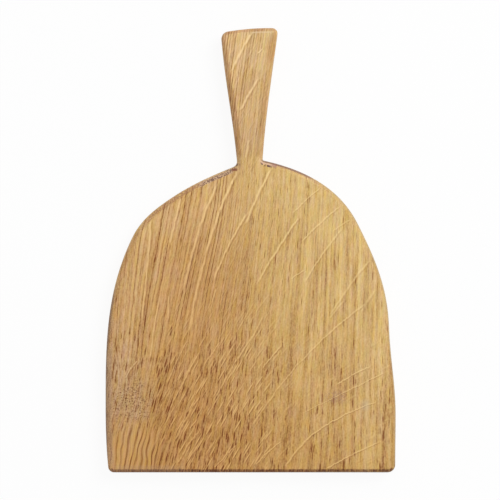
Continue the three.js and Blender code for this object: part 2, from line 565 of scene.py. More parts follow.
    def regions(self, graph: Graph, place: Place) -> Region:
        """Work out which part of the board a point belongs to.

        Args:
            graph: The tree to add to.
            place: Where the point lies.

        Returns:
            The masks that the patterns read.
        """
        low = graph.fade(place.along, *self.low_span)
        sap = graph.fade(place.across, *self.sap_span)
        edge = graph.fade(place.across, *self.heart_edge, self.heart_edge_share, 1.0)
        heart = graph.times(graph.fade(place.across, *self.heart_span), edge)
        corner = graph.spot(place.across, place.along, self.corner, self.corner_reach)
        wavy = graph.fade(corner, *self.corner_levels)
        banded = graph.times(sap, graph.fade(place.along, *self.band_span))
        grip = graph.fade(place.along, *self.grip_span)
        blade = graph.times(heart, graph.line(low, -self.low_stripe_loss, 1.0))
        striped = graph.line(grip, self.grip_stripes, blade)
        ragged = graph.swing(graph.noise(place.point(), self.knot_border, detail=2.0), self.knot_ragged)
        spot = graph.spot(place.across, place.along, self.knot, self.knot_reach)
        knot = graph.fade(graph.add(ragged, spot), *self.knot_levels)
        return Region(low, sap, striped, banded, wavy, grip, knot)

    def lines(self, graph: Graph, place: Place) -> Socket:
        """Draw the thin dark lines between the year rings.

        The rings are ring_width apart, give or take a drift, so a line lies wherever
        ring / ring_width + drift is a whole number. Finer hairs run between them, where a noise
        crosses its middle level.

        Args:
            graph: The tree to add to.
            place: Where the point lies.

        Returns:
            How dark the lines are, from 0 to 1.
        """
        wood = place.wood()
        drift = graph.times(graph.noise(wood, self.drift_lump), self.ring_drift)
        turns = graph.line(place.ring, 1.0 / self.ring_width, drift)
        ring = graph.fade(graph.math(Sum.PINGPONG, turns, 0.5), *self.ring_line)
        faint = graph.fade(graph.noise(wood, self.faint_lump), *self.faint_levels, self.faint_share, 1.0)
        crossing = graph.math(Sum.ABSOLUTE, graph.add(graph.noise(wood, self.hair_lump), -0.5))
        hair = graph.fade(crossing, self.hair_width, 0.0, 0.0, self.hair_share)
        return graph.math(Sum.MAXIMUM, graph.times(ring, faint), hair)

    def pores(self, graph: Graph, place: Place, region: Region) -> Socket:
        """Strew the pores, which stand in columns on the sap side.

        Args:
            graph: The tree to add to.
            place: Where the point lies.
            region: The part of the board that it belongs to.

        Returns:
            How dark the pores are, from 0 to 1.
        """
        lumps = graph.noise(place.wood(), self.column_lump)
        columns = graph.fade(lumps, *self.column_levels, self.column_share, -self.column_share)
        crowding = graph.times(columns, graph.line(region.sap, self.column_sap, self.column_plain))
        dark: Value = 0.0
        for kind in (self.lenses, self.dashes):
            near, chance = graph.seeds(place.wood(), kind.cell)
            rarity = graph.line(region.striped, kind.striped, kind.plain)
            rarity = graph.line(region.low, kind.low, rarity)
            rarity = graph.line(region.sap, kind.sap, graph.add(rarity, crowding))
            above = graph.math(Sum.SUBTRACT, chance, rarity)
            kept = graph.fade(above, 0.0, self.chance_ease, 0.0, kind.depth)
            dark = graph.math(Sum.MAXIMUM, dark, graph.times(graph.fade(near, *kind.reach), kept))
        return graph.times(dark, graph.line(region.wavy, -self.corner_pores, 1.0))

    def tone(self, graph: Graph, place: Place, region: Region) -> Tuple[Socket, Socket]:
        """Work out how dark or pale the grain is.

        Args:
            graph: The tree to add to.
            place: Where the point lies.
            region: The part of the board that it belongs to.

        Returns:
            The tone, from about -1, dark, to 1, pale, and the pores by themselves, from 0 to 1.
        """
        tone = graph.line(region.striped, self.tone_striped, self.tone_plain)
        for layer in self.layers:
            lumps = graph.noise(place.wood(), layer.lump, layer.detail)
            drawn = graph.fade(lumps, *layer.levels, -1.0, 1.0)
            share = graph.line(region.sap, layer.sap, layer.plain)
            share = graph.line(region.striped, layer.striped, share)
            share = graph.line(region.low, layer.low, share)
            share = graph.line(region.banded, layer.banded, share)
            tone = graph.line(drawn, share, tone)
        on_face = graph.fade(place.inset, 0.0, self.wall_inset, self.wall_share, 1.0)
        lines = graph.times(self.lines(graph, place), on_face)
        weight = graph.line(region.striped, -self.line_striped, -self.line_plain)
        tone = graph.line(lines, weight, tone)
        pores = graph.times(self.pores(graph, place, region), on_face)
        tone = graph.line(pores, -self.pore_depth, tone)
        lumps = graph.noise(place.point(), self.knot_lump, detail=2.0)
        speckle = graph.fade(lumps, *self.speckle_levels, *self.speckle_tones)
        tone = graph.toward(graph.times(region.knot, self.knot_speckle), tone, speckle)
        strayed = graph.times(graph.noise(place.wood(), self.bold_lump), self.bold_drift)
        turns = graph.line(place.ring, 1.0 / self.bold_width, strayed)
        bold = graph.fade(graph.math(Sum.PINGPONG, turns, 0.5), *self.bold_line)
        fine = graph.line(lines, -self.corner_lines, self.corner_pale)
        stripes = graph.line(bold, -self.bold_depth, fine)
        return graph.toward(graph.times(region.wavy, self.corner_share), tone, stripes), pores


@dataclass(frozen=True)
class RayFleck:
    """One long ray that shows on the serving face, in millimetres from the board's middle.

    It starts and ends at the two points given and follows the ray field between them.
    """

    head: Span
    tail: Span
    sag: float = 0.0
    width: float = 0.55
    strength: float = 1.0


@dataclass(frozen=True)
class OakRays:
    """Pale rays that cross the rings: long ones listed one by one and short strokes strewn between them.

    The ray field is along + bend / (across - heart_across), and a ray keeps to one value of it.
    Dividing by the field's steepness turns a difference in the field into millimetres.
    """

    heart_across: float = HEART_ACROSS
    nearest_reach: float = 5.0
    bend: float = 33736.0
    ragged_lump: Lump = (9.0, 14.0, 7.0)
    ragged: float = 1.0
    split_lump: Lump = (1.5, 10.0, 4.0)
    split: float = 0.6
    broken_lump: Lump = (1.3, 6.0, 4.0)
    broken_levels: Span = (0.3, 0.58)
    broken_share: float = 0.62
    face_height: Span = (9.0, 15.0)
    end_ease: float = 0.3
    ray_spread: float = 1.7
    shade_offset: float = 1.9
    stroke_cell: Lump = (3.7, 28.0, 5.0)
    stroke_across: float = -5.0
    stroke_shade: float = 1.7
    stroke_reach: Span = (0.45, 0.15)
    stroke_chance: Span = (0.05, 0.4)
    shade_reach: Span = (0.4, 0.12)
    shade_chance: Span = (0.3, 0.7)
    stroke_start: Span = (-100.0, -60.0)
    stroke_plain: float = 0.2
    stroke_low: float = 0.75
    stroke_sap: float = 0.15

    def flecks(self) -> Tuple[RayFleck, ...]:
        """List the rays that stand out on the serving face, from the heart side to the right."""
        return (
            RayFleck((-89.5, 30.0), (-98.0, -64.0), sag=-11.5, width=0.85, strength=0.9),
            RayFleck((-62.5, 47.5), (-72.5, 5.5), width=0.7),
            RayFleck((-29.5, 61.0), (-61.0, -38.0), sag=2.8, width=1.0),
            RayFleck((-10.5, 73.0), (-55.5, -76.0), sag=7.0, width=1.0),
            RayFleck((-3.0, 34.0), (-34.0, -28.5), width=0.8),
            RayFleck((18.5, 74.0), (-4.5, 23.0), width=0.8, strength=0.85),
            RayFleck((63.5, 57.0), (37.5, 33.0), width=0.5, strength=0.55),
            RayFleck((44.0, 30.0), (5.0, -31.5), sag=-0.9, width=0.65, strength=0.8),
            RayFleck((80.5, 40.0), (45.5, 7.0), width=0.5, strength=0.6),
            RayFleck((89.5, 28.0), (73.5, 16.5), width=0.5, strength=0.4),
            RayFleck((82.0, 19.5), (48.0, -29.5), width=0.5, strength=0.55),
            RayFleck((107.5, -8.0), (70.5, -60.0), width=0.5, strength=0.5),
            RayFleck((108.5, -44.5), (0.0, -161.0), sag=-3.0, width=0.55, strength=0.6),
            RayFleck((111.5, -35.5), (99.5, -55.5), strength=0.4),
            RayFleck((107.5, -104.0), (77.0, -121.0), strength=0.85),
            RayFleck((121.0, -109.5), (44.5, -148.0), sag=-4.0, width=0.5, strength=0.7),
            RayFleck((115.0, -135.5), (44.5, -175.0), sag=2.0, width=0.6, strength=0.95),
            RayFleck((116.0, -172.5), (67.0, -197.0), width=0.6, strength=0.9),
            RayFleck((48.5, -17.5), (36.5, -26.5), strength=0.7),
            RayFleck((83.5, -45.5), (70.5, -62.0), strength=0.45),
            RayFleck((27.5, -171.5), (4.0, -193.0), width=0.6, strength=0.95),
            RayFleck((49.0, -171.5), (31.0, -194.0), width=0.6, strength=0.9),
            RayFleck((27.5, -86.0), (10.5, -106.5), strength=0.8),
            RayFleck((11.5, -59.0), (-7.0, -97.0), strength=0.6),
            RayFleck((7.0, -69.5), (-34.0, -137.0), sag=-3.0, width=0.65, strength=0.8),
            RayFleck((-27.5, -82.5), (-42.0, -103.5), strength=0.85),
            RayFleck((-31.0, -34.5), (-37.0, -56.0), strength=0.75),
            RayFleck((-73.5, -40.5), (-74.5, -61.5), width=0.7, strength=0.8),
            RayFleck((-83.0, -46.0), (-90.5, -98.0), width=0.7, strength=0.85),
            RayFleck((-56.5, -80.5), (-74.0, -118.0), strength=0.8),
            RayFleck((-46.0, -91.5), (-63.5, -125.5), width=0.65),
            RayFleck((-60.5, -119.0), (-72.5, -142.5), strength=0.8),
            RayFleck((-45.5, -130.5), (-68.0, -171.5), width=0.75),
            RayFleck((-48.0, -151.0), (-54.5, -160.5)),
            RayFleck((-47.5, -163.5), (-66.5, -193.0), width=0.65),
            RayFleck((-12.5, -175.5), (-33.0, -196.0)),
            RayFleck((-102.0, -98.5), (-112.0, -115.0), width=0.65, strength=0.75),
            RayFleck((0.5, 195.5), (-17.5, 160.5), width=0.9, strength=0.85),
            RayFleck((10.5, 181.5), (6.5, 177.0), strength=0.7),
            RayFleck((7.0, 154.5), (-9.5, 125.5), width=0.9, strength=0.85),
            RayFleck((-1.5, 99.5), (-4.5, 83.0), width=0.8, strength=0.8),
        )

    def ray(
        self, graph: Graph, fleck: RayFleck, field: Socket, fineness: Socket, along: Socket
    ) -> Tuple[Socket, Socket]:
        """Draw one ray.

        With t running from -1 at the ray's tail to 1 at its head, the ray's middle lies at
        level + tilt t + sag (1 - t squared) in the ray field. It is palest there, has a dark
        line of painted shade on its lower side, as if the ray stood proud, and fades towards its ends.

        Args:
            graph: The tree to add to.
            fleck: The ray.
            field: The ray field at the point.
            fineness: Millimetres for one step of the field there.
            along: Place along the board.

        Returns:
            The pale and the dark amount.
        """
        head = fleck.head[1] + self.bend / (fleck.head[0] - self.heart_across)
        tail = fleck.tail[1] + self.bend / (fleck.tail[0] - self.heart_across)
        half = (fleck.head[1] - fleck.tail[1]) / 2.0
        middle = (fleck.head[1] + fleck.tail[1]) / 2.0
        run = graph.line(along, 1.0 / half, -middle / half)
        past = graph.line(run, run, -1.0)
        off = graph.line(past, fleck.sag, graph.line(run, (tail - head) / 2.0, field))
        away = graph.times(graph.add(off, -(head + tail) / 2.0), fineness)
        lit = graph.fade(past, 0.0, -self.end_ease, 0.0, fleck.strength)
        reach = fleck.width * self.ray_spread
        shade = graph.add(away, fleck.width * self.shade_offset)
        pale = graph.fade(graph.math(Sum.ABSOLUTE, away), reach, 0.0, 0.0, lit)
        return pale, graph.fade(graph.math(Sum.ABSOLUTE, shade), reach, 0.0, 0.0, lit)

    def group(self) -> bpy.types.NodeTree:
        """Make the node group that draws the long rays.

        Returns:
            The group, which takes a place and gives a pale and a dark amount.
        """
        tree = bpy.data.node_groups.new("oak_rays", "ShaderNodeTree")
        for name in ("across", "along", "height"):
            tree.interface.new_socket(name, in_out="INPUT", socket_type="NodeSocketFloat")
        for name in ("pale", "dark"):
            tree.interface.new_socket(name, in_out="OUTPUT", socket_type="NodeSocketFloat")
        graph = Graph(tree)
        given = graph.node("NodeGroupInput").outputs
        point = (given["across"], given["along"], given["height"])
        reach = graph.add(given["across"], -self.heart_across)
        reach = graph.math(Sum.MAXIMUM, reach, self.nearest_reach)
        bent = graph.math(Sum.DIVIDE, self.bend, reach)
        slope = graph.math(Sum.DIVIDE, bent, reach)
        steepness = graph.math(Sum.ROOT, graph.line(slope, slope, 1.0))
        fineness = graph.math(Sum.DIVIDE, 1.0, steepness)
        lumps = graph.noise(point, self.ragged_lump, detail=1.0)
        splits = graph.swing(graph.noise(point, self.split_lump), self.split)
        ragged = graph.line(lumps, 2.0 * self.ragged, graph.add(splits, -self.ragged))
        along = graph.add(given["along"], ragged)
        field = graph.line(ragged, steepness, graph.add(given["along"], bent))
        pale: Value = 0.0
        dark: Value = 0.0
        for fleck in self.flecks():
            seen, shade = self.ray(graph, fleck, field, fineness, graph.after(along, pale))
            pale = graph.math(Sum.MAXIMUM, pale, seen)
            dark = graph.math(Sum.MAXIMUM, dark, shade)
        lumps = graph.noise(point, self.broken_lump, detail=1.0)
        uneven = graph.fade(lumps, *self.broken_levels, self.broken_share, 1.0)
        on_face = graph.times(graph.fade(given["height"], *self.face_height), uneven)
        result = graph.node("NodeGroupOutput")
        graph.feed(result.inputs["pale"], graph.times(pale, on_face))
        graph.feed(result.inputs["dark"], graph.times(dark, on_face))
        return tree

    def rays(self, graph: Graph, place: Place) -> Tuple[Socket, Socket]:
        """Lay the long rays over the serving face.

        Args:
            graph: The tree to add to.
            place: Where the point lies.

        Returns:
            The pale and the dark amount.
        """
        made = graph.node("ShaderNodeGroup")
        made.node_tree = self.group()
        for socket, part in zip(made.inputs, place.point()):
            graph.feed(socket, part)
        return made.outputs["pale"], made.outputs["dark"]

    def strokes(self, graph: Graph, place: Place, region: Region) -> Tuple[Socket, Socket]:
        """Scatter short pale strokes that lie along the rays, each with a dark one beside it as its painted
        shade.

        Left of stroke_across the rays keep one slope, so the strokes there follow straight lines.

        Args:
            graph: The tree to add to.
            place: Where the point lies.
            region: The part of the board that it belongs to.

        Returns:
            The pale and the dark amount, from 0 to 1.
        """
        held = graph.math(Sum.MAXIMUM, place.across, self.stroke_across)
        reach = graph.add(held, -self.heart_across)
        bent = graph.math(Sum.DIVIDE, self.bend, reach)
        slope = graph.math(Sum.DIVIDE, bent, reach)
        beyond = graph.math(Sum.SUBTRACT, held, place.across)
        field = graph.line(beyond, slope, graph.add(place.along, bent))
        run = graph.add(place.across, place.along)
        near, chance = graph.seeds((field, run, place.height), self.stroke_cell)
        shifted = graph.add(field, self.stroke_shade)
        shade_near, shade_chance = graph.seeds((shifted, run, place.height), self.stroke_cell)
        pale = graph.times(graph.fade(near, *self.stroke_reach), graph.fade(chance, *self.stroke_chance))
        dark = graph.times(
            graph.fade(shade_near, *self.shade_reach), graph.fade(shade_chance, *self.shade_chance)
        )
        inner = graph.fade(place.across, *self.stroke_start)
        few = graph.fade(region.sap, 0.0, 1.0, 1.0, self.stroke_sap)
        share = graph.times(graph.line(region.low, self.stroke_low, self.stroke_plain), inner, few)
        return graph.times(pale, share), graph.times(dark, share)


class Texture(Enum):
    """What breaks up a mark."""

    PLAIN = "plain"
    SPECK = "speck"
    GRIT = "grit"
    HATCH = "hatch"
    BEAD = "bead"


@dataclass(frozen=True)
class Mark:
    """A strip or patch in another colour: one that the file, the hand or wear left, or painted shade or
    highlight on a rounded edge.

    It lies within limits of the inset from the outline, of the place across and along the board,
    and of the way that the nearest edge faces. soft eases the inset's limits and ease those of the
    place, in millimetres.
    """

    colour: Colour
    strength: float
    inset: Span = ANY
    across: Span = ANY
    along: Span = ANY
    facing: Span = ANY
    texture: Texture = Texture.PLAIN
    coat: Coat = Coat.OVER
    soft: float = 0.4
    ease: float = 3.0


@dataclass(frozen=True)
class WearAndShading:
    """Marks along the board's edges: those of the file, of handling and of end grain, and painted shade and
    highlights on the rounded edges. Sizes are millimetres.
    """

    facing_ease: float = 0.2
    ragged_lump: Lump = (3.0, 3.0, 3.0)
    ragged_inset: float = 0.9
    ragged_place: float = 2.0
    ragged_height: float = 6.0
    upper: Span = (14.0, 17.0)
    speck_lump: Lump = (0.95, 0.95, 0.95)
    speck_levels: Span = (0.44, 0.58)
    grit_lump: Lump = (1.5, 1.2, 1.2)
    grit_levels: Span = (0.44, 0.53)
    hatch_lump: Lump = (1.2, 9.0, 9.0)
    hatch_levels: Span = (0.36, 0.62)
    hatch_least: float = 0.6
    bead_lump: Lump = (1.9, 3.0, 3.0)
    bead_levels: Span = (0.42, 0.52)

    def ends(self) -> Tuple[Mark, ...]:
        """List the marks of the cut ends: the foot, dark as end grain and partly as painted shade, and the
        grip's end.
        """
        up = (0.6, math.inf)
        return (
            # Dark foot: end grain soaked with oil, partly painted shade on the edge that faces away from
            # the light.
            Mark(
                (0.25, 0.14, 0.15, 1.0), 1.0, inset=(-math.inf, 3.1), facing=(-math.inf, -0.55),
                texture=Texture.HATCH, coat=Coat.INTO, soft=0.5,
            ),
            Mark(
                (0.76, 0.62, 0.64, 1.0), 0.9, inset=(-math.inf, 2.9), along=(150.0, math.inf), facing=up,
                texture=Texture.HATCH, coat=Coat.INTO, soft=0.3,
            ),
            Mark(
                shown(238, 210, 170), 0.5, inset=(3.3, 4.7), across=(0.0, 18.0), along=(150.0, math.inf),
                facing=up,
            ),
        )

    def grip(self) -> Tuple[Mark, ...]:
        """List the marks of the grip's flanks, darkened as painted shade on their rounded sides and partly
        browned by the hand, with a painted dark line of shade inside each.

        Returns:
            The marks, in the order that they are laid.
        """
        left = (-math.inf, -1.0)
        right = (-1.0, math.inf)
        flank = (-0.6, 0.6)
        beyond_neck = (84.0, math.inf)
        return (
            # Flank bands: painted shade on the grip's rounded sides, with some browning from handling.
            Mark(
                (0.70, 0.56, 0.46, 1.0), 0.8, inset=(-math.inf, 4.6), across=left, along=beyond_neck,
                facing=flank, texture=Texture.HATCH, coat=Coat.INTO, soft=1.1,
            ),
            Mark(
                (0.74, 0.64, 0.54, 1.0), 0.85, inset=(-math.inf, 5.6), across=right, along=beyond_neck,
                facing=flank, texture=Texture.HATCH, coat=Coat.INTO, soft=1.6,
            ),
            Mark(
                (0.82, 0.66, 0.50, 1.0), 0.55, inset=(-math.inf, 8.5), across=right, along=(170.0, 190.0),
                facing=flank, coat=Coat.INTO, soft=2.2, ease=6.0,
            ),
            # Dark lines where each round-over starts: painted shade.
            Mark(
                (0.62, 0.50, 0.46, 1.0), 0.7, inset=(4.2, 5.6), across=left, along=(100.0, 146.0),
                texture=Texture.HATCH, coat=Coat.INTO,
            ),
            Mark(
                (0.66, 0.54, 0.50, 1.0), 0.6, inset=(4.8, 5.9), across=right, along=(112.0, 152.0),
                texture=Texture.HATCH, coat=Coat.INTO,
            ),
        )

    def shoulders(self) -> Tuple[Mark, ...]:
        """List the marks of the shoulders: rough strips that the file left beside the neck, pale strips of
        painted highlight on the filed bevels, and painted shade in the corners beside the neck.

        Returns:
            The marks, in the order that they are laid.
        """
        up = (0.3, math.inf)
        blade = (-math.inf, 88.0)
        rough = (1.6, 4.9)
        return (
            # Two pale strips on the left shoulder's filed bevel: painted highlight, partly its pinker end
            # grain.
            Mark(
                shown(212, 178, 136), 0.6, inset=(-math.inf, 2.6), across=(-50.0, -14.0), along=blade,
                facing=up,
            ),
            Mark(shown(217, 182, 152), 0.7, inset=rough, across=(-46.0, -16.0), along=blade, facing=up),
            Mark(
                shown(112, 76, 64), 0.8, inset=rough, across=(-46.0, -16.0), along=blade, facing=up,
                texture=Texture.GRIT,
            ),
            Mark(
                shown(174, 124, 92), 0.7, inset=(0.2, 4.4), across=(-94.0, -44.0), along=blade, facing=up,
                texture=Texture.GRIT,
            ),
            Mark(
                shown(122, 92, 86), 0.8, inset=(-math.inf, 1.7), across=(7.0, 56.0), along=blade, facing=up,
                soft=0.3, ease=9.0,
            ),
            # Pale strip on the right shoulder's bevel by the neck: painted highlight, partly its pinker end
            # grain.
            Mark(
                shown(222, 184, 160), 0.75, inset=(1.6, 3.2), across=(8.0, 23.0), along=blade, facing=up,
                soft=0.3,
            ),
            Mark(
                shown(100, 66, 68), 0.95, inset=(3.0, 4.9), across=(8.0, 19.5), along=blade, facing=up,
                texture=Texture.BEAD, soft=0.3,
            ),
            # Dark spot in the corner of the neck and the right shoulder: end grain, partly painted shade in
            # the corner.
            Mark(shown(156, 108, 102), 0.55, across=(19.0, 23.5), along=(74.0, 78.5), ease=1.2),
            Mark(
                shown(172, 122, 102), 0.45, inset=(0.3, 3.2), across=(24.0, 72.0), along=blade, facing=up,
                texture=Texture.SPECK,
            ),
            # Dark patches in the corner of the neck and the left shoulder: end grain, partly painted shade
            # in the corner.
            Mark(
                shown(100, 78, 78), 0.95, inset=(-math.inf, 1.6), across=(-22.0, -14.5), along=(70.0, 77.0),
                texture=Texture.GRIT, ease=0.8,
            ),
            Mark(shown(134, 74, 54), 0.9, across=(-17.0, -12.0), along=(71.2, 73.6), ease=0.7),
            Mark(
                shown(110, 72, 62), 0.85, inset=(-math.inf, 1.8), across=(-14.2, -10.8), along=(75.2, 78.0),
                ease=0.6,
            ),
        )

    def flanks(self) -> Tuple[Mark, ...]:
        """List the marks of the blade's long sides and of the face beside them.

        Returns:
            The marks, in the order that they are laid.
        """
        left = (-math.inf, -60.0)
        right = (60.0, math.inf)
        return (
            Mark(
                shown(188, 158, 128), 0.42, inset=(-math.inf, 6.0), across=left, along=(-196.0, -90.0),
                soft=2.0, ease=12.0,
            ),
            Mark(
                shown(116, 90, 74), 0.6, inset=(-math.inf, 1.0), across=left, along=(-180.0, -38.0),
                soft=0.3, ease=12.0,
            ),
            Mark(
                (0.70, 0.62, 0.62, 1.0), 0.7, inset=(0.3, 5.4), across=left, along=(-192.0, -28.0),
                texture=Texture.SPECK, coat=Coat.INTO, soft=0.9, ease=8.0,
            ),
            Mark(
                shown(124, 94, 78), 0.45, inset=(-math.inf, 2.2), across=left, along=(-92.0, -38.0),
                soft=0.6, ease=6.0,
            ),
            Mark(
                (0.78, 0.58, 0.48, 1.0), 0.5, inset=(1.2, 5.0), across=left, along=(-28.0, 45.0),
                texture=Texture.SPECK, coat=Coat.INTO, ease=8.0,
            ),
            Mark(
                (0.89, 0.86, 0.80, 1.0), 0.9, inset=(-math.inf, 4.0), across=right, along=(-196.0, 66.0),
                coat=Coat.INTO, soft=1.5, ease=10.0,
            ),
            Mark(
                shown(194, 168, 126), 0.6, inset=(-math.inf, 1.4), across=right, along=(-196.0, 66.0),
                ease=10.0,
            ),
            Mark(
                (0.88, 0.86, 0.80, 1.0), 0.8, inset=(-math.inf, 4.2), across=right, along=(-196.0, -132.0),
                coat=Coat.INTO, soft=1.2, ease=8.0,
            ),
            Mark(
                (0.84, 0.72, 0.58, 1.0), 0.55, inset=(1.6, 3.8), across=right, along=(-190.0, -60.0),
                texture=Texture.SPECK, coat=Coat.INTO, ease=10.0,
            ),
            Mark(
                (0.80, 0.70, 0.72, 1.0), 0.6, across=(89.8, 93.4), along=(-198.0, -8.0),
                texture=Texture.HATCH, coat=Coat.INTO, ease=1.2,
            ),
            Mark(
                shown(228, 198, 140), 0.3, across=(102.0, 106.0), along=(-198.0, -25.0),
                texture=Texture.HATCH, ease=1.2,
            ),
            Mark(shown(206, 184, 150), 0.4, across=(99.5, 106.5), along=(-144.0, -135.0), ease=2.5),
            Mark(
                shown(152, 112, 102), 0.5, across=(66.0, 86.0), along=(-137.0, -127.0),
                texture=Texture.SPECK,
            ),
        )

    def textures(self, graph: Graph, place: Place) -> Dict[Texture, Value]:
        """Work out what breaks up the marks, each from 0 to 1.

        Args:
            graph: The tree to add to.
            place: Where the point lies.

        Returns:
            The amount that each texture keeps.
        """
        point = place.point()
        specks = graph.noise(point, self.speck_lump, detail=1.0)
        grit = graph.noise(point, self.grit_lump, detail=1.0)
        hatch = graph.noise(place.wood(), self.hatch_lump, detail=1.0)
        return {
            Texture.PLAIN: 1.0,
            Texture.SPECK: graph.fade(specks, *self.speck_levels),
            Texture.GRIT: graph.fade(grit, *self.grit_levels),
            Texture.HATCH: graph.fade(hatch, *self.hatch_levels, self.hatch_least, 1.0),
            Texture.BEAD: graph.fade(graph.noise(point, self.bead_lump), *self.bead_levels),
        }

    def apply(self, graph: Graph, place: Place, colour: Socket) -> Socket:
        """Lay the marks over the wood, one after another, with ragged borders.

        Those of the ends and the grip go all round the edge. The others fade down the wall.

        Args:
            graph: The tree to add to.
            place: Where the point lies.
            colour: The wood's colour.

        Returns:
            The colour with the marks.
        """
        textures = self.textures(graph, place)
        ragged = graph.swing(graph.noise(place.point(), self.ragged_lump, detail=1.0), 0.5)
        inset = graph.line(ragged, self.ragged_inset, place.inset)
        across = graph.line(ragged, self.ragged_place, place.across)
        along = graph.line(ragged, -self.ragged_place, place.along)
        around = self.ends() + self.grip()
        on_top = graph.fade(graph.line(ragged, self.ragged_height, place.height), *self.upper)
        before: Value = 0.0
        for mark in around + self.shoulders() + self.flanks():
            amount: Value = mark.strength
            if mark not in around:
                amount = graph.times(on_top, mark.strength)
            limits = (
                (inset, mark.inset, mark.soft),
                (across, mark.across, mark.ease),
                (along, mark.along, mark.ease),
                (place.facing, mark.facing, self.facing_ease),
            )
            for value, span, soft in limits:
                if span != ANY:
                    amount = graph.times(graph.between(graph.after(value, before), span, soft), amount)
            before = graph.times(amount, textures[mark.texture])
            colour = graph.mix(before, colour, mark.colour, mark.coat)
        return colour


